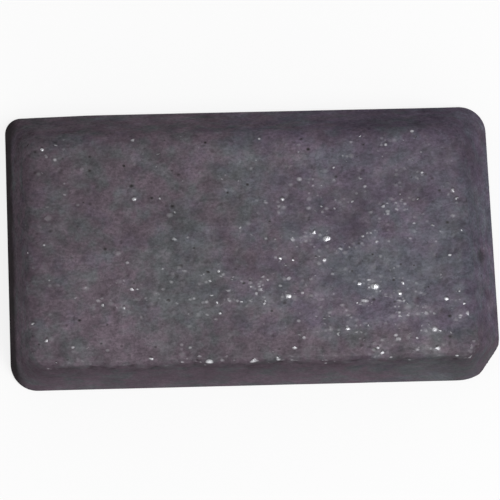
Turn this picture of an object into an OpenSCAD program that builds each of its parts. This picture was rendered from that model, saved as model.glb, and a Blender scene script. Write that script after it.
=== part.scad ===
// Cast metal ingot, poured in an open tapered mould and turned out of it.
// The mould's floor made the top face, its leaning sides made the four walls,
// and the surface of the pour, which sank a little as it set, is underneath.
// X runs along the bar, Y from front to back, and Z up from the ground.
// The origin lies on the ground under the middle of the bar.

/* [Top face] */
// Length of the flat top face, between the roundings of its ends
top_len = 87.6; // [70:0.2:130]
// Width of the flat top face, between the roundings of its long edges
top_w = 43.6; // [36:0.2:70]
// Plan radius of the flat top face's own corners
top_corner_r = 0.4; // [0.2:0.1:4]
// Height of the top face above the ground
bar_h = 19.8; // [14:0.2:26]

/* [Walls and edges] */
// Lean of the walls, in degrees, which lets the bar slip out of its mould
draft = 14; // [4:0.5:18]
// Rounding between the top face and the walls
top_edge_r = 2; // [1.2:0.1:3]
// Rounding of the foot, where the pour met the mould
foot_edge_r = 1.2; // [0.6:0.1:2]

/* [Knocked corner] */
// Depth of the flat that a knock left on the front right corner
knock_depth = 1.1; // [0.3:0.1:1.6]
// Direction that the flat faces, in degrees from the X axis
knock_angle = -32; // [-60:1:-25]

/* [Sunken pour] */
// Depth of the hollow that the setting metal left underneath
sink_depth = 0.8; // [0.3:0.1:1.5]
// Width of the slope from the hollow's rim to its floor
sink_slope = 14; // [8:0.5:15]
// Distance from the edge of the flat top face in to the hollow's level floor
sink_inset = 14.4; // [14.4:0.2:17]

/* [Hidden] */
$fn = 96;

// The wall's section is two roundings and the straight wall that touches both.
// Its radii are measured outwards from the vertical axis of a corner.
top_axis = [top_corner_r, bar_h - top_edge_r];
lean_out = (top_edge_r - foot_edge_r + (top_axis.y - foot_edge_r) * sin(draft)) / cos(draft);
foot_axis = [top_corner_r + lean_out, foot_edge_r];
wall_normal = [cos(draft), sin(draft)];
wall_reach = foot_axis.x + foot_edge_r;

// Corner axes of the bar and of the hollow's floor.
bar_axes = corner_axes(top_corner_r);
sink_axes = corner_axes(sink_inset);
sink_r = (pow(sink_slope, 2) + pow(sink_depth, 2)) / (2 * sink_depth);

// How far a cutter runs past the surface that it cuts.
overrun = 1;
// A length that is longer than the bar, for cutters.
past_bar = 2 * (top_len + wall_reach);

// Corners of the flat top face, moved in by inset: back right, front right,
// front left and back left.
function corner_axes(inset) =
    let (x = top_len / 2 - inset, y = top_w / 2 - inset)
    [[x, y], [x, -y], [-x, -y], [-x, y]];

// Section of the wall, out from a corner's axis: foot, leaning wall and top edge.
module wall_section() {
    intersection() {
        union() {
            polygon([
                [0, 0],
                [foot_axis.x, 0],
                foot_axis + foot_edge_r * wall_normal,
                top_axis + top_edge_r * wall_normal,
                [top_axis.x, bar_h],
                [0, bar_h],
            ]);
            translate(foot_axis) circle(foot_edge_r);
            translate(top_axis) circle(top_edge_r);
        }
        square([wall_reach + overrun, bar_h]);
    }
}

// Section of the hollow, out from a corner's axis: one shallow arc.
module sink_section() {
    intersection() {
        translate([0, sink_depth - sink_r]) circle(sink_r);
        translate([0, -overrun]) square([sink_r, sink_depth + overrun]);
    }
}

// Sweeps a section round four corners: straight along each side, and turned a
// quarter about each corner. The space between the corners is filled.
module swept_block(axes, low, high) {
    translate([0, 0, low]) linear_extrude(high - low) polygon(axes);
    for (i = [0:3]) {
        side = norm(axes[(i + 1) % 4] - axes[i]);
        translate(axes[i]) rotate(-90 * i) {
            rotate([90, 0, 0]) linear_extrude(side) children();
            rotate_extrude(angle = 90) children();
        }
    }
}

// The metal outside the knocked flat, which leans as the walls do.
module knock() {
    translate(bar_axes[1])
        rotate(knock_angle)
        translate([top_axis.x, 0, top_axis.y])
        rotate([0, -draft, 0])
        translate([top_edge_r - knock_depth, -past_bar / 2, -past_bar / 2])
        cube(past_bar);
}

module ingot() {
    color([0.36, 0.34, 0.37])
    difference() {
        swept_block(bar_axes, 0, bar_h) wall_section();
        swept_block(sink_axes, -overrun, sink_depth) sink_section();
        knock();
    }
}

ingot();
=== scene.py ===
"""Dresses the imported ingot: one cast bar of dull, tarnished metal on a pale floor."""

import functools
import math
from types import SimpleNamespace

import bmesh
import bpy
import numpy as np
from bpy.props import FloatProperty, FloatVectorProperty, IntProperty, PointerProperty
from mathutils import Matrix, Vector


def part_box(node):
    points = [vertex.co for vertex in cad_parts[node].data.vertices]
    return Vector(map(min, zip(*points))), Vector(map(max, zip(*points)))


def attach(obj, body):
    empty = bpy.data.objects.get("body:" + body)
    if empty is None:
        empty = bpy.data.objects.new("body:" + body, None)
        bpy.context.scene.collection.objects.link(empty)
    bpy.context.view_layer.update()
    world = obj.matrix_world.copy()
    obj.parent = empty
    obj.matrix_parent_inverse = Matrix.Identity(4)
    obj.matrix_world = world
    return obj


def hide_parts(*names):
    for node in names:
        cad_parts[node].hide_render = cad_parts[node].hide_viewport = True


bl_info = {
    "name": "Cast Ingot",
    "version": (1, 0, 0),
    "blender": (4, 5, 0),
    "location": "View3D > Sidebar > Ingot",
    "description": "Models a tapered bar of cast metal and sets it on a pale floor",
    "category": "Object",
}

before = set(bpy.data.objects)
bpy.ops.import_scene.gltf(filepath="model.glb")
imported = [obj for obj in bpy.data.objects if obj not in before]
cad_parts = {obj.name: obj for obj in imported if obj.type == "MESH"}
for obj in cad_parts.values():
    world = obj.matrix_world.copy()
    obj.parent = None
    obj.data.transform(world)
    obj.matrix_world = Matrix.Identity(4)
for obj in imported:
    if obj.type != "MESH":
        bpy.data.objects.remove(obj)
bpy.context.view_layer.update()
NODE = "ingot"
BAR_LOW, BAR_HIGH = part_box(NODE)
BAR_SIZE = BAR_HIGH - BAR_LOW

MM = 0.001
# Points that lie closer than this, in metres, are the same point.
SAME_PLACE = 1e-6
IMAGE_PIXELS = 500


# Properties

class BarShape(bpy.types.PropertyGroup):
    """Sizes of the bar, of its knocked corner and of the hollow underneath."""

    length: FloatProperty(
        name="Length", description="Length along the front, over the foot",
        default=BAR_SIZE.x, unit="LENGTH")
    width: FloatProperty(
        name="Width", description="Width from front to back, over the foot",
        default=BAR_SIZE.y, unit="LENGTH")
    height: FloatProperty(
        name="Height", description="Height of the top face",
        default=BAR_SIZE.z, unit="LENGTH")
    right_skew: FloatVectorProperty(
        name="Right end's skew",
        description="How far the front and the back right corner lie outside the length",
        size=2, default=(0.65 * MM, -1.55 * MM), unit="LENGTH")
    back_bow: FloatVectorProperty(
        name="Back bow",
        description="Where along the back wall it stands out furthest, and how far",
        size=2, default=(-33 * MM, 0.35 * MM), unit="LENGTH")
    extra_lean: FloatVectorProperty(
        name="Extra lean",
        description="How much further the left, right, front and back walls lean in",
        size=4, default=(0.8 * MM, 0.7 * MM, 0.6 * MM, 0.3 * MM), unit="LENGTH")
    foot_corners: FloatVectorProperty(
        name="Foot corners",
        description="Radii at the front left, front right, back right and back left",
        size=4, default=(5.6 * MM, 9.0 * MM, 5.2 * MM, 3.2 * MM), unit="LENGTH")
    top_corners: FloatVectorProperty(
        name="Top corners", description="Radii under the top edge, in the same order",
        size=4, default=(3.4 * MM, 1.0 * MM, 4.0 * MM, 4.0 * MM), unit="LENGTH")
    draft: FloatProperty(
        name="Draft", description="Lean of the walls",
        default=math.radians(14), subtype="ANGLE")
    top_edge_radius: FloatProperty(
        name="Top edge radius",
        description="Rounding of the front lip, before the other edges are worn",
        default=0.9 * MM, unit="LENGTH")
    foot_edge_radius: FloatProperty(
        name="Foot edge radius", description="Rounding of the foot",
        default=1.2 * MM, unit="LENGTH")
    knock_depth: FloatProperty(
        name="Knock depth", description="Depth of the flat on the front right corner",
        default=0.9 * MM, unit="LENGTH")
    knock_angle: FloatProperty(
        name="Knock angle", description="Direction that the knocked flat faces, from the X axis",
        default=math.radians(-35), subtype="ANGLE")
    knock_lean: FloatProperty(
        name="Knock lean", description="Lean of the knocked flat",
        default=math.radians(12.5), subtype="ANGLE")
    hollow_depth: FloatProperty(
        name="Hollow depth", description="Depth of the shrinkage hollow underneath",
        default=0.8 * MM, unit="LENGTH")
    hollow_slope: FloatProperty(
        name="Hollow slope", description="Width of the slope from the hollow's rim to its floor",
        default=14 * MM, unit="LENGTH")
    foot_width: FloatProperty(
        name="Foot width", description="Width of the level foot around the hollow",
        default=5.3 * MM, unit="LENGTH")


class BarSurface(bpy.types.PropertyGroup):
    """Wear and roughness of the casting, as heights over the even surface."""

    grid: FloatProperty(
        name="Grid", description="Size of the mesh's faces",
        default=0.43 * MM, unit="LENGTH")
    settle_steps: IntProperty(
        name="Settling steps", description="Smoothing passes after the mesh is made even",
        default=4)
    worn_reach: FloatProperty(
        name="Worn reach", description="How far in from the foot the back and end edges are worn",
        default=15 * MM, unit="LENGTH")
    worn_blend: FloatProperty(
        name="Worn blend", description="Width over which the wear begins",
        default=6 * MM, unit="LENGTH")
    worn_steps: IntProperty(
        name="Worn steps", description="Smoothing passes on the worn back and end edges",
        default=160)
    lip_waves: FloatProperty(
        name="Lip waves", description="How far the front lip wanders",
        default=0.9 * MM, unit="LENGTH")
    lip_notches: FloatProperty(
        name="Lip notches", description="Depth of the small notches in the front lip",
        default=0.6 * MM, unit="LENGTH")
    warp: FloatProperty(
        name="Warp", description="Unevenness of whole faces",
        default=0.24 * MM, unit="LENGTH")
    dents: FloatProperty(
        name="Dents", description="Depth of the broad dents in the top face",
        default=0.50 * MM, unit="LENGTH")
    lumps: FloatProperty(
        name="Lumps", description="Height of the lumps between the dents",
        default=0.24 * MM, unit="LENGTH")
    grain: FloatProperty(
        name="Grain", description="Height of the coarse casting grain",
        default=0.08 * MM, unit="LENGTH")
    pits: FloatProperty(
        name="Pits", description="Depth of the gas pits",
        default=0.40 * MM, unit="LENGTH")
    wall_share: FloatProperty(
        name="Wall share", description="How much of the roughness the smoother walls have",
        default=0.4)
    ripples: FloatProperty(
        name="Ripples", description="Height of the pour's ripples underneath",
        default=0.14 * MM, unit="LENGTH")


class BarFinish(bpy.types.PropertyGroup):
    """Colours of the tarnish, of dirty places and painted shade, and of the bare metal under it
    with its painted glints; its sheen and its finest grain.
    """

    mauve: FloatVectorProperty(
        name="Mauve", description="Warm tarnish on the left",
        default=(0.104, 0.080, 0.099), subtype="COLOR")
    green_grey: FloatVectorProperty(
        name="Green grey", description="Cool tarnish on the left",
        default=(0.089, 0.091, 0.099), subtype="COLOR")
    blue_grey: FloatVectorProperty(
        name="Blue grey", description="Cool tarnish on the right",
        default=(0.088, 0.090, 0.112), subtype="COLOR")
    violet: FloatVectorProperty(
        name="Violet", description="Warm tarnish on the right",
        default=(0.091, 0.073, 0.103), subtype="COLOR")
    # The dark colour is also that of the painted shadow at the foot of the left wall and of the
    # painted shade beside each glint.
    grime_and_shade: FloatVectorProperty(
        name="Grime", description="Dirt in hollows and pits, in specks and at the left foot",
        default=(0.020, 0.017, 0.018), subtype="COLOR")
    # The light colour is that of the painted glints on bare grains, and of the painted sheen
    # around them and along the front lip.
    bright: FloatVectorProperty(
        name="Bright metal", description="Bare grains that glint",
        default=(0.86, 0.86, 0.90), subtype="COLOR")
    metallic: FloatProperty(
        name="Metallic", description="How far the tarnished top face is still metal",
        default=0.25)
    sheen: FloatProperty(
        name="Sheen", description="Strength of the dull sheen on the top face",
        default=0.4)
    sheen_roughness: FloatProperty(
        name="Sheen roughness", description="How soft that sheen is",
        default=0.38)
    bump_height: FloatProperty(
        name="Bump height", description="Height of the finest grain, which the shading shows",
        default=0.16 * MM, unit="LENGTH")


class StageSettings(bpy.types.PropertyGroup):
    """Floor, light and camera."""

    floor_side: FloatProperty(
        name="Floor side", description="Length of the floor's sides",
        default=8, unit="LENGTH")
    floor_colour: FloatVectorProperty(
        name="Floor", description="Colour of the floor",
        default=(0.90, 0.90, 0.90), subtype="COLOR")
    floor_white: FloatProperty(
        name="Floor white", description="How far the camera sees the floor lifted to white",
        default=0.82)
    zenith_level: FloatProperty(
        name="Light overhead", description="Strength of the room's light from straight above",
        default=0.35)
    horizon_level: FloatProperty(
        name="Light from around", description="Strength of the room's light from the horizon",
        default=1.2)
    key_level: FloatProperty(
        name="Key light", description="Light of the soft lamp, where 1 lights a white floor fully",
        default=0.52)
    key_direction: FloatVectorProperty(
        name="Key direction", description="Direction from the bar to the soft lamp",
        default=(0.42, -0.22, 1.0), subtype="XYZ")
    key_distance: FloatProperty(
        name="Key distance", description="From the bar to the soft lamp",
        default=0.9, unit="LENGTH")
    key_side: FloatProperty(
        name="Key side", description="Length of the soft lamp's sides",
        default=0.28, unit="LENGTH")
    camera_distance: FloatProperty(
        name="Camera distance", description="From the ground under the bar",
        default=0.92, unit="LENGTH")
    camera_right: FloatProperty(
        name="Camera to the right", description="Angle off the vertical",
        default=math.radians(1.5), subtype="ANGLE")
    camera_front: FloatProperty(
        name="Camera to the front", description="Angle off the vertical",
        default=math.radians(0.9), subtype="ANGLE")
    camera_roll: FloatProperty(
        name="Camera roll", description="Turn of the picture",
        default=math.radians(1.45), subtype="ANGLE")
    pixels_per_mm: FloatProperty(
        name="Pixels per millimetre", description="Scale of the picture on the ground",
        default=4.876)
    aim: FloatVectorProperty(
        name="Aim", description="Point on the ground at the picture's middle",
        size=2, default=(-0.26 * MM, -0.15 * MM), subtype="XYZ", unit="LENGTH")


# Modelling by hand: selections, outlines and walls

def deselect_all():
    """Leaves nothing selected, because an operator acts on all that is."""
    if bpy.context.mode != "OBJECT":
        bpy.ops.object.mode_set(mode="OBJECT")
    bpy.ops.object.select_all(action="DESELECT")


def take_up(body):
    """Makes one object the only one selected, and the active one."""
    deselect_all()
    bpy.context.view_layer.objects.active = body
    body.select_set(True)


def pick(kind, test):
    """Selects only the faces, edges or verts that pass a test, in edit mode."""
    bpy.ops.mesh.select_mode(type={"faces": "FACE", "edges": "EDGE", "verts": "VERT"}[kind])
    bpy.ops.mesh.select_all(action="DESELECT")
    mesh = bpy.context.object.data
    form = bmesh.from_edit_mesh(mesh)
    for item in getattr(form, kind):
        item.select_set(test(item))
    form.select_flush_mode()
    bmesh.update_edit_mesh(mesh)


def is_at(vertex, *places):
    """Whether a vertex lies at one of some places."""
    return any((vertex.co - place).length < SAME_PLACE for place in places)


def start_form(name):
    """Starts an empty mesh and opens it for editing."""
    deselect_all()
    bpy.ops.mesh.primitive_plane_add(size=1, location=(0, 0, 0))
    bpy.context.object.name = name
    bpy.ops.object.mode_set(mode="EDIT")
    bpy.ops.mesh.select_all(action="SELECT")
    bpy.ops.mesh.delete(type="VERT")
    return bpy.context.object


def add_outline(corners, radii, height, bow=None):
    """Adds a plane, drags its corners into place, bows its back and rounds its corners."""
    bpy.ops.mesh.select_all(action="DESELECT")
    bpy.ops.mesh.primitive_plane_add(size=1, location=(0, 0, height))
    places = [Vector((*corner, height)) for corner in corners]
    for place in places:
        start = Vector((math.copysign(0.5, place.x), math.copysign(0.5, place.y), height))
        pick("verts", lambda v: is_at(v, start))
        bpy.ops.transform.translate(value=place - start)
    if bow:
        back_ends = places[2:]
        middle = (back_ends[0] + back_ends[1]) / 2
        pick("edges", lambda e: all(is_at(v, *back_ends) for v in e.verts))
        bpy.ops.mesh.subdivide(number_cuts=1)
        pick("verts", lambda v: is_at(v, middle))
        bpy.ops.transform.translate(value=(bow[0] - middle.x, bow[1], 0))
    for place, radius in zip(places, radii):
        pick("verts", lambda v: is_at(v, place))
        bpy.ops.mesh.bevel(offset=radius, segments=24, affect="VERTICES", profile=0.5)
    pick("faces", lambda f: abs(f.calc_center_median().z - height) < SAME_PLACE)


def raise_steps(steps):
    """Builds a wall on the selected face, one inset with its rise at a time."""
    for inset, rise in steps:
        bpy.ops.mesh.inset(thickness=inset, depth=rise, use_even_offset=True)


def arc_steps(radius, start, end, count):
    """Insets and rises along an arc, from one angle over the horizon to another."""
    turns = [start + (end - start) * i / count for i in range(count + 1)]
    points = [(radius * math.cos(t), radius * math.sin(t)) for t in turns]
    return [(a[0] - b[0], abs(b[1] - a[1])) for a, b in zip(points, points[1:])]


def close_form():
    """Merges doubles, turns the faces outwards and leaves edit mode."""
    bpy.ops.mesh.select_all(action="SELECT")
    bpy.ops.mesh.remove_doubles(threshold=SAME_PLACE / 10)
    bpy.ops.mesh.normals_make_consistent(inside=False)
    bpy.ops.object.mode_set(mode="OBJECT")


def rectangle(half_x, half_y):
    """Corners of a rectangle: front left, front right, back right and back left."""
    return [(-half_x, -half_y), (half_x, -half_y), (half_x, half_y), (-half_x, half_y)]


# The bar

def model_bar(shape):
    """The tapered bar: its widest outline and the one under its top edge, bridged and closed."""
    foot_r, top_r = shape.foot_edge_radius, shape.top_edge_radius
    foot_steps, top_steps = 5, 7
    under_edge = shape.height - top_r * (1 - math.sin(shape.draft))
    run = (under_edge - foot_r) * math.tan(shape.draft)
    half_x, half_y = shape.length / 2, shape.width / 2

    def skewed(corners):
        """Moves the two right corners, which come second and third."""
        moved = [(x + skew, y) for (x, y), skew in zip(corners[1:3], shape.right_skew)]
        return [corners[0], *moved, corners[3]]

    left, right, front, back = (run + extra for extra in shape.extra_lean)
    under_top = [
        (left - half_x, front - half_y), (half_x - right, front - half_y),
        (half_x - right, half_y - back), (left - half_x, half_y - back)]
    bar = start_form(NODE)
    add_outline(skewed(under_top), shape.top_corners, under_edge, shape.back_bow)
    raise_steps(arc_steps(top_r, shape.draft, math.pi / 2, top_steps))
    add_outline(skewed(rectangle(half_x, half_y)), shape.foot_corners, foot_r, shape.back_bow)
    bpy.ops.mesh.flip_normals()
    raise_steps(arc_steps(foot_r, 0, math.pi / 2, foot_steps))
    pick("edges", lambda e: e.is_boundary)
    bpy.ops.mesh.bridge_edge_loops()
    knock_corner(shape)
    close_form()
    return bar


def knock_corner(shape):
    """Cuts the leaning flat on the front right corner and closes the cut."""
    across = Matrix.Rotation(shape.knock_angle, 3, "Z")
    outwards = across @ Matrix.Rotation(-shape.knock_lean, 3, "Y") @ Vector((1, 0, 0))
    radius = shape.foot_corners[1]
    corner_axis = Vector((
        shape.length / 2 + shape.right_skew[0] - radius,
        radius - shape.width / 2,
        shape.foot_edge_radius))
    bpy.ops.mesh.select_all(action="SELECT")
    bpy.ops.mesh.bisect(
        plane_co=corner_axis + across @ Vector((radius - shape.knock_depth, 0, 0)),
        plane_no=outwards, use_fill=True, clear_outer=True)


def model_hollow(shape):
    """The shallow dish that the setting metal left in the underside."""
    inset = shape.foot_edge_radius + shape.foot_width
    slope, depth = shape.hollow_slope, shape.hollow_depth
    bend = (slope ** 2 + depth ** 2) / (2 * depth)
    # A corner radius just over the slope keeps the insets from folding.
    corner_radius, slope_steps = slope * 1.02, 8
    hollow = start_form("hollow")
    rim = rectangle(shape.length / 2 - inset, shape.width / 2 - inset)
    add_outline(rim, [corner_radius] * 4, -depth)
    bpy.ops.mesh.extrude_region_move(TRANSFORM_OT_translate={"value": (0, 0, depth)})
    rim_angle = math.pi / 2 - math.asin(slope / bend)
    raise_steps(arc_steps(bend, rim_angle, math.pi / 2, slope_steps))
    close_form()
    return hollow


def cut_away(body, tool):
    """Cuts a tool's form out of a body and removes the tool."""
    take_up(body)
    bpy.ops.object.modifier_add(type="BOOLEAN")
    modifier = body.modifiers[-1]
    modifier.operation = "DIFFERENCE"
    modifier.object = tool
    modifier.solver = "EXACT"
    bpy.ops.object.modifier_apply(modifier=modifier.name)
    bpy.data.objects.remove(tool)


def smooth(body, steps, group=""):
    """Smooths the surface, all over or as far as a vertex group says."""
    bpy.ops.object.modifier_add(type="SMOOTH")
    modifier = body.modifiers[-1]
    modifier.factor = 0.5
    modifier.iterations = steps
    modifier.vertex_group = group
    bpy.ops.object.modifier_apply(modifier=modifier.name)


def even_mesh(body, surface):
    """Remakes the mesh with even faces, laid back on the form, that a fine relief can move."""
    take_up(body)
    bpy.ops.object.duplicate()
    form = bpy.context.object
    take_up(body)
    bpy.ops.object.modifier_add(type="REMESH")
    remesh = body.modifiers[-1]
    remesh.mode = "VOXEL"
    remesh.voxel_size = surface.grid
    bpy.ops.object.modifier_apply(modifier=remesh.name)
    smooth(body, surface.settle_steps)
    bpy.ops.object.modifier_add(type="SHRINKWRAP")
    wrap = body.modifiers[-1]
    wrap.target = form
    wrap.wrap_method = "NEAREST_SURFACEPOINT"
    bpy.ops.object.modifier_apply(modifier=wrap.name)
    bpy.data.objects.remove(form)


# Wear and relief

def vertex_places(body):
    """Places of all vertices, as an array."""
    places = np.empty(len(body.data.vertices) * 3)
    body.data.vertices.foreach_get("co", places)
    return places.reshape(-1, 3)


def fade(values, none, full):
    """Weights that are 0 where a value is at none, 1 where it is at full, and straight between."""
    return np.clip((values - none) / (full - none), 0, 1)


def weight_group(body, name, weights):
    """A vertex group that holds one weight for each vertex."""
    group = body.vertex_groups.new(name=name)
    for index, weight in enumerate(weights):
        if weight > 0:
            group.add([index], float(weight), "REPLACE")
    return name


def wear_edges(body, shape, surface):
    """Wears the top edges at the back and at both ends, and leaves the front lip crisp."""
    x, y, z = vertex_places(body).T
    end, side = shape.length / 2 - surface.worn_reach, shape.width / 2 - surface.worn_reach
    blend, crisp_front, left_share = surface.worn_blend, -20 * MM, 0.8
    high = fade(z, shape.height - 9 * MM, shape.height - 4 * MM)
    back = fade(y, side, side + blend)
    left = fade(-x, end, end + blend) * left_share
    right = fade(x, end, end + blend) * fade(y, crisp_front, crisp_front + blend)
    worn = high * np.maximum.reduce([back, left, right])
    smooth(body, surface.worn_steps, weight_group(body, "worn", worn))


def displace(body, texture, height, group, direction="NORMAL"):
    """Moves the surface by a texture over Object coordinates, up and down by half the height."""
    bpy.ops.object.modifier_add(type="DISPLACE")
    modifier = body.modifiers[-1]
    modifier.texture = texture
    modifier.texture_coords = "LOCAL"
    modifier.strength = height
    modifier.mid_level = 0.5
    modifier.direction = direction
    modifier.vertex_group = group
    bpy.ops.object.modifier_apply(modifier=modifier.name)


def clouds(name, size, depth):
    """A cloud texture with lumps of about the given size."""
    texture = bpy.data.textures.new(name, "CLOUDS")
    texture.noise_scale = size
    texture.noise_depth = depth
    return texture


def pit_texture(spacing, radius):
    """Round pits at chance places, with a radius given as a share of their spacing."""
    texture = bpy.data.textures.new("pits", "VORONOI")
    texture.noise_scale = spacing
    texture.use_color_ramp = True
    bottom, rim = texture.color_ramp.elements
    bottom.position, bottom.color = 0.0, (0, 0, 0, 1)
    rim.position, rim.color = radius, (0.5, 0.5, 0.5, 1)
    return texture


def ripple_texture(spacing):
    """Uneven rings, as a pour leaves when it sets."""
    texture = bpy.data.textures.new("ripples", "WOOD")
    texture.wood_type = "RINGNOISE"
    texture.noise_scale = spacing
    texture.turbulence = 8
    return texture


def roughen(body, shape, surface):
    """Gives the bar its cast surface: lip, warp, lumps, grain, pits and, below, ripples."""
    places = vertex_places(body)
    y, z = places[:, 1], places[:, 2]
    top_z, front_y = shape.height, -shape.width / 2
    above_foot = fade(z, 0.5 * MM, 3 * MM)
    on_top = fade(z, top_z - 2.5 * MM, top_z - 0.5 * MM)
    from_wall = (np.array((shape.length, shape.width)) / 2 - np.abs(places[:, :2])).min(axis=1)
    near_lip = fade(y, front_y + 9 * MM, front_y + 5 * MM)
    skin = weight_group(body, "skin", above_foot)
    top = weight_group(body, "top", on_top)
    rough = weight_group(
        body, "rough", above_foot * (surface.wall_share + (1 - surface.wall_share) * on_top))
    pour = weight_group(
        body, "pour", (z < 1.2 * MM) * (from_wall > 3 * MM) * fade(z, 0, 0.3 * MM))
    lip = weight_group(body, "near_lip", near_lip * fade(z, top_z - 7 * MM, top_z - 2 * MM))

    for name, size, depth, group, direction in (
            ("lip_waves", 7 * MM, 1, lip, "Y"),
            ("lip_notches", 2.4 * MM, 1, lip, "Y"),
            ("warp", 26 * MM, 1, skin, "NORMAL"),
            ("dents", 9 * MM, 1, top, "NORMAL"),
            ("lumps", 4.2 * MM, 2, rough, "NORMAL"),
            ("grain", 1.3 * MM, 1, rough, "NORMAL")):
        displace(body, clouds(name, size, depth), getattr(surface, name), group, direction)
    displace(body, pit_texture(4.2 * MM, 0.16), surface.pits, top)
    displace(body, ripple_texture(9 * MM), surface.ripples, pour)


def mark_surface(body, shape):
    """Writes where the surface stands out, lies in, and faces sideways, for the finish to read."""
    mesh = body.data
    places = vertex_places(body)
    edges = np.empty(len(mesh.edges) * 2, dtype=np.int64)
    mesh.edges.foreach_get("vertices", edges)
    edges = edges.reshape(-1, 2)
    ends = np.concatenate([edges[:, 0], edges[:, 1]])
    others = np.concatenate([edges[:, 1], edges[:, 0]])
    count = len(places)
    degree = np.bincount(ends, minlength=count)

    def smoothed(values, passes):
        """Each vertex's value made the mean of its neighbours', so many times."""
        for _ in range(passes):
            columns = [np.bincount(ends, column[others], count) / degree for column in values.T]
            values = np.stack(columns, axis=1)
        return values

    normals = np.empty(count * 3)
    mesh.vertices.foreach_get("normal", normals)
    normals = normals.reshape(-1, 3)

    def standing(passes, full_height):
        """Height over the surface that so many passes leave, as a share of a full height."""
        return np.einsum("ij,ij->i", places - smoothed(places, passes), normals) / full_height

    broad = standing(passes=30, full_height=0.16 * MM)
    narrow = standing(passes=6, full_height=0.06 * MM)
    front_y, top_z = -shape.width / 2, shape.height
    near_front = fade(places[:, 1], front_y + 9 * MM, front_y + 7 * MM)
    high = fade(places[:, 2], top_z - 3.5 * MM, top_z - 2 * MM)
    crisp = smoothed(normals, passes=3)
    soft_up = smoothed(crisp, passes=45)[:, 2]
    upward = soft_up + (crisp[:, 2] - soft_up) * near_front
    marks = {
        "edge": fade(broad, 0, 1),
        "lip": fade(narrow, 0.3, 1.3) * near_front * high,
        "cavity": fade(-broad, 0, 0.5),
        "pit": fade(-narrow, 0.4, 1.4),
        "side": fade(upward, 0.97, 0.3),
        "front": fade(-crisp[:, 1], 0.2, 0.45),
    }
    for name, values in marks.items():
        attribute = mesh.attributes.new(name, "FLOAT", "POINT")
        attribute.data.foreach_set("value", values.astype(np.float32))


# Shader nodes

class Shader:
    """A material's node tree, with short calls for the nodes used here."""

    def __init__(self, name):
        self.material = bpy.data.materials.new(name)
        self.material.use_nodes = True
        self.tree = self.material.node_tree
        self.surface = self.tree.nodes["Principled BSDF"]
        self.output = self.tree.nodes["Material Output"]
        self.place = self.add("TexCoord").outputs["Object"]

    def add(self, kind, **settings):
        """A new node of a kind, with its settings."""
        node = self.tree.nodes.new("ShaderNode" + kind)
        for name, value in settings.items():
            setattr(node, name, value)
        return node

    def put(self, value, socket):
        """Links a socket, or writes a number or a colour into it."""
        if isinstance(value, bpy.types.NodeSocket):
            self.tree.links.new(value, socket)
        elif isinstance(value, (int, float)):
            socket.default_value = value
        else:
            socket.default_value = (*value, 1)

    def math(self, operation, *values, clamp=False):
        """The result of one calculation."""
        node = self.add("Math", operation=operation, use_clamp=clamp)
        for value, socket in zip(values, node.inputs):
            self.put(value, socket)
        return node.outputs[0]

    def fold(self, operation, values):
        """Several values joined two at a time, as into their product or the largest."""
        return functools.reduce(functools.partial(self.math, operation), values)

    def mapped(self, shift, scale):
        """Object coordinates, scaled and then shifted."""
        mapping = self.add("Mapping")
        self.put(self.place, mapping.inputs["Vector"])
        mapping.inputs["Location"].default_value = shift
        mapping.inputs["Scale"].default_value = scale
        return mapping.outputs[0]

    def noise(self, size, detail=2.0, roughness=0.5,
              shift=(0, 0, 0), stretch=(1, 1, 1), swirl=0.0):
        """Soft noise with lumps of about the given size, in metres."""
        node = self.add("TexNoise")
        self.put(self.mapped(shift, stretch), node.inputs["Vector"])
        node.inputs["Scale"].default_value = 1 / size
        node.inputs["Detail"].default_value = detail
        node.inputs["Roughness"].default_value = roughness
        node.inputs["Distortion"].default_value = swirl
        return node.outputs["Fac"]

    def span(self, value, low, high, to_low=0.0, to_high=1.0):
        """Maps a value from one span to another, and holds it at the ends."""
        node = self.add("MapRange", clamp=True)
        for item, socket in zip((value, low, high, to_low, to_high), node.inputs):
            self.put(item, socket)
        return node.outputs[0]

    def mix(self, factor, first, second, blend="MIX"):
        """Two colours mixed by a factor."""
        node = self.add("Mix", data_type="RGBA", blend_type=blend)
        self.put(factor, node.inputs[0])
        self.put(first, node.inputs[6])
        self.put(second, node.inputs[7])
        return node.outputs[2]

    def attribute(self, name):
        """A mark that was written on the mesh."""
        return self.add("Attribute", attribute_name=name).outputs["Fac"]


def soft_patch(shader, centre, radii):
    """A mask that is full at a place on the bar, in millimetres, and fades to a ragged edge."""
    ragged, faded, full = 0.45, 1.25, 0.55
    scale = Vector((1 / (radii[0] * MM), 1 / (radii[1] * MM), 0))
    shift = (-centre[0] * MM * scale.x, -centre[1] * MM * scale.y, 0)
    length = shader.add("VectorMath", operation="LENGTH")
    shader.put(shader.mapped(shift, scale), length.inputs[0])
    ragged_edge = shader.math("MULTIPLY_ADD", shader.noise(6 * MM, 4, 0.6), ragged * 2, -ragged)
    distance = shader.math("ADD", length.outputs["Value"], ragged_edge)
    return shader.span(distance, faded, full)


def patches(shader, places):
    """The strongest of several soft patches, each with a centre, radii and a strength."""
    return shader.fold("MAXIMUM", [
        shader.math("MULTIPLY", soft_patch(shader, centre, radii), strength)
        for centre, radii, strength in places])


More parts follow.
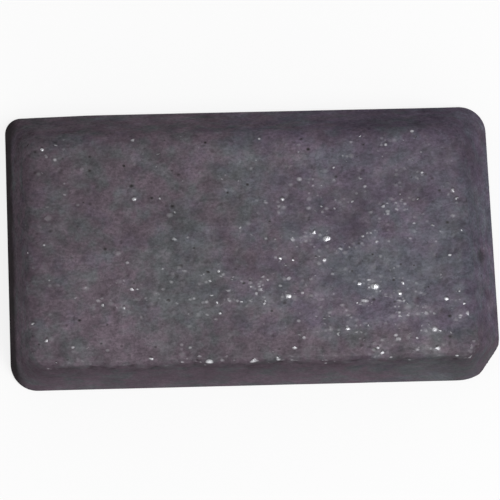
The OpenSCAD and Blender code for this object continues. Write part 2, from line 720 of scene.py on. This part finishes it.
def grains(shader, size, share, radius, faint=0.07, aside=0.0):
    """A mask of tiny grains: a share of the cells holds one, each of its own size and strength."""
    cells = shader.add("TexVoronoi", feature="F1")
    place = shader.mapped((0, -aside / size, 0), (0.8 / size, 1 / size, 1 / size))
    shader.put(place, cells.inputs["Vector"])
    cells.inputs["Scale"].default_value = 1
    chance = shader.add("SeparateColor")
    shader.put(cells.outputs["Color"], chance.inputs[0])
    held, width, strength = chance.outputs
    chosen = shader.math("LESS_THAN", held, share)
    reach = shader.span(width, 0, 1, radius * 0.6, radius * 1.5)
    inside = shader.math("DIVIDE", cells.outputs["Distance"], reach)
    dot = shader.math("MULTIPLY", chosen, shader.span(inside, 1.25, 0.3))
    mostly_faint = shader.math("POWER", strength, 2.7)
    return shader.math("MULTIPLY", dot, shader.math("MULTIPLY_ADD", mostly_faint, 0.95, faint))


# The tarnished finish

MARKS = ("edge", "lip", "cavity", "pit", "side", "front")

# Patches on the bar, each with its centre and radii in millimetres and its strength.
COOL_PLACES = (
    ((-13, -5), (9, 15), 0.95),
    ((-1, 13), (6, 12), 0.8),
    ((28, -5), (17, 6), 0.95),
    ((41, -1), (6, 13), 0.7),
    ((46, 6), (5, 5.5), 0.8),
    ((44, -3.2), (4.5, 2), 0.7),
    ((36, -25.5), (9, 3.5), 0.85),
)
LIGHT_PLACES = (
    ((7, 24), (15, 8), 0.12),
    ((18, 19), (7, 5), 0.12),
    ((-36, -17), (16, 9), 0.12),
)
STAINS = (
    ((46.8, -2.8), (0.8, 1.4), 0.55),
    ((-29, -21), (3.2, 1.5), 0.25),
)
# Where the painted glints and painted sheen gather.
BRIGHT_PLACES = (
    ((4, -8), (38, 5), 0.85),
    ((30, -14), (20, 11), 0.9),
    ((18, 4), (18, 10), 0.6),
    ((36, 12), (14, 12), 0.4),
    ((-32, -20), (5, 3), 0.8),
)
# Cells of the bare grains, and the radius of a grain as a share of its cell.
GRAIN_LAYERS = ((0.7 * MM, 0.42), (1.4 * MM, 0.31))


def read_surface(shader):
    """The marks on the mesh and the place on the bar, each under its name."""
    at = {name: shader.attribute(name) for name in MARKS}
    place = shader.add("SeparateXYZ")
    shader.put(shader.place, place.inputs[0])
    at["along"], at["across"], at["height"] = place.outputs
    at["right_edge"] = shader.span(at["along"], 37 * MM, 44 * MM)
    return SimpleNamespace(**at)


def tarnish(shader, at, finish):
    """Colour of the tarnish: warm with cool patches, and bluer towards the right."""
    drift = shader.span(shader.noise(5 * MM, 3, 0.6, shift=(0, 0, 0.4)), 0.35, 0.65, -0.4, 0.4)
    to_right = shader.span(at.along, -14 * MM, 26 * MM)
    to_front = shader.span(at.across, -15 * MM, -21 * MM)
    rightward = shader.math("ADD", shader.math("SUBTRACT", to_right, to_front), drift, clamp=True)
    warm = shader.mix(rightward, finish.mauve, finish.violet)
    cool = shader.mix(rightward, finish.green_grey, finish.blue_grey)
    blotches = shader.span(
        shader.noise(7 * MM, 3, 0.55, shift=(0.2, 0, 0)), 0.46, 0.62, 0.0, 0.65)
    flecks = shader.span(
        shader.noise(2.4 * MM, 2, 0.5, shift=(0, 0.3, 0)), 0.42, 0.60, -0.22, 0.28)
    coolness = shader.math("MAXIMUM", patches(shader, COOL_PLACES), blotches)
    return shader.mix(shader.math("ADD", coolness, flecks, clamp=True), warm, cool)


def mottling(shader, at):
    """Light and dark mottling of three sizes, calmer on the walls and most on the front one."""
    down_wall = (0.7, 1, 0.55)
    steps = []
    for size, detail, roughness, swirl, contrast in (
            (11 * MM, 8, 0.72, 0.3, 0.25),
            (2.8 * MM, 3, 0.6, 0.4, 0.23),
            (0.5 * MM, 2, 0.6, 0.4, 0.26)):
        lumps = shader.noise(size, detail, roughness, stretch=down_wall, swirl=swirl)
        steps.append(shader.span(lumps, 0.3, 0.7, 1 - contrast, 1 + contrast))
    change = shader.math("SUBTRACT", shader.fold("MULTIPLY", steps), 1.0)
    less = shader.math("MULTIPLY_ADD", at.front, -0.4, -0.05)
    calm = shader.math("MULTIPLY_ADD", at.side, less, 1.0)
    return shader.math("MULTIPLY_ADD", change, calm, 1.0)


def painted_face_light(shader, at):
    """Painted light and shade: lighter to the front, dimmer at the ends, light in patches."""
    level = shader.math(
        "MULTIPLY", shader.span(at.across, -12 * MM, 22 * MM, 1.055, 0.967),
        shader.span(at.across, -14 * MM, -20 * MM, 1.0, 0.94))
    left_end = shader.math(
        "MULTIPLY", shader.span(at.along, -31 * MM, -45 * MM),
        shader.span(at.across, -16 * MM, -4 * MM))
    right_front = shader.math(
        "MULTIPLY", shader.span(at.along, 38 * MM, 46 * MM),
        shader.span(at.across, -8 * MM, -14 * MM))
    # A little painted shade towards the right end.
    right_end = shader.span(at.along, 34 * MM, 42 * MM)
    changes = [(left_end, -0.2), (right_front, -0.1), (right_end, -0.02)]
    changes += [(soft_patch(shader, *place), change) for *place, change in LIGHT_PLACES]
    for mask, change in changes:
        level = shader.math("MULTIPLY_ADD", mask, change, level)
    return level


def painted_wall_light(shader, at):
    """Painted light and shade on the walls: how much lighter or darker each is at its foot and
    under the lip.
    """
    on_left = shader.span(at.along, -38 * MM, -43 * MM)
    on_right = shader.span(at.along, 38 * MM, 43 * MM)

    def four_walls(back, left, right, front):
        """One level for all walls. The back's and the front's run from place to place."""
        back, front = (
            shader.span(at.along, first * MM, last * MM, *levels)
            for (first, last), levels in (back, front))
        sides = shader.span(on_right, 0, 1, shader.span(on_left, 0, 1, back, left), right)
        return shader.span(at.front, 0, 1, sides, front)

    at_foot = four_walls(
        back=((-36, 40), (-0.06, -0.22)), left=-0.08, right=0.06,
        front=((-44, -32), (-0.08, 0.08)))
    under_lip = four_walls(
        back=((-36, 40), (-0.16, -0.32)), left=-0.16, right=-0.18,
        front=((-42, -24), (-0.42, -0.30)))
    change = shader.span(at.height, 2 * MM, 17 * MM, at_foot, under_lip)
    return shader.math("MULTIPLY_ADD", at.side, change, 1.0)


def dirt_and_shadow(shader, at):
    """Where it is dirty, in hollows and pits, in specks and stains; and a painted shadow at the
    foot of the left wall.
    """
    settled = shader.span(shader.noise(3 * MM, 3), 0.3, 0.6)
    in_hollows = shader.math("MULTIPLY", at.cavity, settled, clamp=True)
    # Painted shadow along the foot of the left wall, with a ragged upper edge.
    ragged_height = shader.math("MULTIPLY_ADD", shader.noise(5 * MM, 3, 0.6), 6 * MM, at.height)
    left_foot_shadow = shader.math(
        "MULTIPLY", shader.span(ragged_height, 12 * MM, 8.5 * MM),
        shader.span(at.along, -46.5 * MM, -48.5 * MM))
    fewer_on_walls = shader.math("MULTIPLY_ADD", at.side, -0.13, 0.14)
    specks = grains(shader, 1.1 * MM, fewer_on_walls, 0.26, faint=0.38)
    layers = ((in_hollows, 0.3), (left_foot_shadow, 0.85), (specks, 0.9), (at.pit, 0.45))
    masks = [shader.math("MULTIPLY", mask, strength, clamp=True) for mask, strength in layers]
    return shader.fold("MAXIMUM", [*masks, patches(shader, STAINS)])


def bare_metal_and_sheen(shader, at):
    """How far the colour is lifted to bare metal: a soft painted sheen on worn places around the
    glint clusters, and a thin worn line with a painted highlight along the front lip; and the
    share of cells that hold a bare grain.
    """
    bright_places = patches(shader, BRIGHT_PLACES)
    clusters = shader.span(
        shader.noise(4 * MM, 2, 0.5, shift=(0.3, 0.1, 0), stretch=(0.7, 1.3, 1)),
        0.46, 0.63, 0.02, 0.64)
    # Along the front lip: a thin worn line and painted highlight.
    lip_wear_and_highlight = shader.math(
        "MULTIPLY", at.lip, shader.span(shader.noise(2.2 * MM, 4, 0.7), 0.42, 0.66, 0.0, 0.03))
    # Around the glint clusters: a soft painted sheen on worn places.
    worn_face_sheen = shader.math("MULTIPLY", bright_places, clusters)
    rubbed_and_sheen = shader.math("MULTIPLY_ADD", worn_face_sheen, 0.07, lip_wear_and_highlight)

    on_face = shader.fold("MULTIPLY", (
        shader.math("ADD", bright_places, 0.12),
        clusters,
        shader.math("MULTIPLY_ADD", at.edge, 0.3, 0.85),
        shader.math("SUBTRACT", 1.0, at.right_edge),
        shader.math("MULTIPLY_ADD", at.side, -1.4, 1.0, clamp=True)))
    on_lip = shader.span(shader.noise(6 * MM, 2, 0.5), 0.5, 0.6, 0.0, 0.3)
    return rubbed_and_sheen, shader.math("MULTIPLY_ADD", at.lip, on_lip, on_face)


def fine_relief(shader, glints, height):
    """The finest grain, and the bare grains that stand out of it, as a bump."""
    bump = shader.add("Bump")
    bump.inputs["Strength"].default_value = 0.9
    bump.inputs["Distance"].default_value = height
    grain = shader.noise(0.5 * MM, 3, 0.65)
    shader.put(shader.math("ADD", grain, glints), bump.inputs["Height"])
    return bump.outputs[0]


def tarnished_metal(finish):
    """Dull cast metal: warm and cool tarnish with painted light and shade, dirty hollows, and bare
    grains that glint as metal and as painted glints, with painted shade beside them.
    """
    shader = Shader("tarnished_metal")
    at = read_surface(shader)
    colour = tarnish(shader, at, finish)
    # Mottled tone, then painted light and shade on the faces and walls.
    for level in (mottling(shader, at), painted_face_light(shader, at), painted_wall_light(shader, at)):
        colour = shader.mix(1.0, colour, level, "MULTIPLY")
    colour = shader.mix(dirt_and_shadow(shader, at), colour, finish.grime_and_shade)
    # Painted sheen and worn lines, in the light colour.
    rubbed_and_sheen, share = bare_metal_and_sheen(shader, at)
    colour = shader.mix(rubbed_and_sheen, colour, finish.bright)
    # Painted shade beside each grain, on its back side away from the lamp, in the dark colour.
    for size, radius in GRAIN_LAYERS:
        shade = grains(shader, size, share, radius, aside=0.42 * MM)
        colour = shader.mix(shader.math("MULTIPLY", shade, 0.8), colour, finish.grime_and_shade)
    # Bare grains: metallic and smoother, and lifted to the light colour as painted glints.
    glints = shader.fold(
        "MAXIMUM", [grains(shader, size, share, radius) for size, radius in GRAIN_LAYERS])

    metal = shader.math("MULTIPLY_ADD", at.side, -0.2, finish.metallic)
    sheen = shader.math("MULTIPLY_ADD", at.right_edge, -0.2, finish.sheen)
    rough = shader.span(shader.noise(2.2 * MM, 3), 0.3, 0.7, 0.48, 0.70)
    sockets = {
        "Base Color": shader.mix(glints, colour, finish.bright),
        "Metallic": shader.math("ADD", metal, glints, clamp=True),
        "Roughness": shader.math("SUBTRACT", rough, shader.math("MULTIPLY", glints, 0.3)),
        "Coat Weight": shader.math("MULTIPLY_ADD", at.side, -1.2, sheen, clamp=True),
        "Coat Roughness": finish.sheen_roughness,
        "Specular IOR Level": 0.0,
        "Normal": fine_relief(shader, glints, finish.bump_height),
    }
    for name, value in sockets.items():
        shader.put(value, shader.surface.inputs[name])
    return shader.material


# The stage

def floor_paint(colour, whiteness):
    """Pale floor. To the camera and to reflections it is lifted to white, and keeps the shadow."""
    shader = Shader("floor_paint")
    shader.put(colour, shader.surface.inputs["Base Color"])
    shader.put(0.9, shader.surface.inputs["Roughness"])
    shader.put(0.0, shader.surface.inputs["Specular IOR Level"])
    rays = shader.add("LightPath").outputs
    kinds = ("Is Camera Ray", "Is Glossy Ray", "Is Transmission Ray")
    seen = shader.fold("MAXIMUM", [rays[kind] for kind in kinds])
    white = shader.add("Emission")
    blend = shader.add("MixShader")
    shader.put(shader.math("MULTIPLY", seen, whiteness), blend.inputs[0])
    shader.put(shader.surface.outputs[0], blend.inputs[1])
    shader.put(white.outputs[0], blend.inputs[2])
    shader.put(blend.outputs[0], shader.output.inputs["Surface"])
    return shader.material


def room_light(zenith, horizon):
    """White light from all round, which grows from the zenith down to the horizon."""
    world = bpy.data.worlds.new("room")
    world.use_nodes = True
    tree = world.node_tree
    direction = tree.nodes.new("ShaderNodeSeparateXYZ")
    tree.links.new(tree.nodes.new("ShaderNodeTexCoord").outputs["Generated"], direction.inputs[0])
    level = tree.nodes.new("ShaderNodeMapRange")
    level.interpolation_type = "SMOOTHSTEP"
    tree.links.new(direction.outputs["Z"], level.inputs["Value"])
    # From this height of the direction up, the light is the zenith's.
    level.inputs["From Max"].default_value = 0.75
    level.inputs["To Min"].default_value = horizon
    level.inputs["To Max"].default_value = zenith
    background = tree.nodes["Background"]
    background.inputs["Color"].default_value = (1, 1, 1, 1)
    tree.links.new(level.outputs["Result"], background.inputs["Strength"])
    return world


def lay_floor(settings):
    """The plain floor under the bar."""
    deselect_all()
    bpy.ops.mesh.primitive_plane_add(size=settings.floor_side, location=(0, 0, 0))
    floor = bpy.context.object
    floor.name = "floor"
    floor.data.materials.append(floor_paint(settings.floor_colour, settings.floor_white))
    return floor


def hang_lamp(settings):
    """The soft lamp over the bar, as strong as its level on the floor asks."""
    to_lamp = Vector(settings.key_direction).normalized()
    distance, side = settings.key_distance, settings.key_side
    bpy.ops.object.light_add(type="AREA", location=to_lamp * distance)
    lamp = bpy.context.object
    lamp.name = "key_lamp"
    lamp.rotation_euler = to_lamp.to_track_quat("Z", "Y").to_euler()
    lamp.data.size = side
    on_floor = side ** 2 * to_lamp.z / (math.pi * distance ** 2)
    lamp.data.energy = settings.key_level / on_floor * math.pi * side ** 2


def place_camera(settings):
    """The camera over the bar, turned and zoomed as the picture is."""
    away = Vector((math.tan(settings.camera_right), -math.tan(settings.camera_front), 1))
    aim = Vector((*settings.aim, 0))
    bpy.ops.object.camera_add(location=aim + away * settings.camera_distance)
    camera = bpy.context.object
    camera.name = "camera"
    back = away.normalized()
    right = Vector((0, 1, 0)).cross(back).normalized()
    upright = Matrix((right, back.cross(right), back)).transposed()
    turn = upright @ Matrix.Rotation(-settings.camera_roll, 3, "Z")
    camera.rotation_euler = turn.to_euler()
    picture_width = IMAGE_PIXELS / settings.pixels_per_mm * MM
    camera.data.lens = camera.data.sensor_width * settings.camera_distance / picture_width
    return camera


# Operators and panel

class INGOT_OT_bar(bpy.types.Operator):
    """Model the cast bar and give it its tarnished finish"""

    bl_idname = "ingot.bar"
    bl_label = "Cast bar"

    def execute(self, context):
        shape, surface = context.scene.ingot_shape, context.scene.ingot_surface
        bar = model_bar(shape)
        cut_away(bar, model_hollow(shape))
        even_mesh(bar, surface)
        wear_edges(bar, shape, surface)
        roughen(bar, shape, surface)
        mark_surface(bar, shape)
        bpy.ops.object.shade_smooth()
        bar.name = "cast_bar"
        bar.data.materials.clear()
        bar.data.materials.append(tarnished_metal(context.scene.ingot_finish))
        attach(bar, "root")
        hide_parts(NODE)
        return {"FINISHED"}


class INGOT_OT_stage(bpy.types.Operator):
    """Lay the floor, hang the lamp and place the camera"""

    bl_idname = "ingot.stage"
    bl_label = "Floor, lamp and camera"

    def execute(self, context):
        scene, settings = context.scene, context.scene.ingot_stage
        floor = lay_floor(settings)
        scene.world = room_light(settings.zenith_level, settings.horizon_level)
        hang_lamp(settings)
        scene.camera = place_camera(settings)
        scene.view_settings.view_transform = "Standard"
        return {"FINISHED"}


class INGOT_PT_panel(bpy.types.Panel):
    """Sizes, finish and stage of the ingot"""

    bl_idname = "INGOT_PT_panel"
    bl_label = "Cast ingot"
    bl_space_type = "VIEW_3D"
    bl_region_type = "UI"
    bl_category = "Ingot"

    def draw(self, context):
        for name, group in SETTINGS.items():
            box = self.layout.box()
            for item in group.__annotations__:
                box.prop(getattr(context.scene, name), item)
        for operator in (INGOT_OT_bar, INGOT_OT_stage):
            self.layout.operator(operator.bl_idname)


SETTINGS = {
    "ingot_shape": BarShape,
    "ingot_surface": BarSurface,
    "ingot_finish": BarFinish,
    "ingot_stage": StageSettings,
}
CLASSES = (*SETTINGS.values(), INGOT_OT_bar, INGOT_OT_stage, INGOT_PT_panel)


def register():
    """Registers the classes and hangs their settings on the scene."""
    for item in CLASSES:
        bpy.utils.register_class(item)
    for name, group in SETTINGS.items():
        setattr(bpy.types.Scene, name, PointerProperty(type=group))


def unregister():
    """Takes the settings and the classes away again."""
    for name in SETTINGS:
        delattr(bpy.types.Scene, name)
    for item in reversed(CLASSES):
        bpy.utils.unregister_class(item)


def main():
    register()
    bpy.ops.ingot.bar()
    bpy.ops.ingot.stage()


if __name__ == "__main__":
    main()
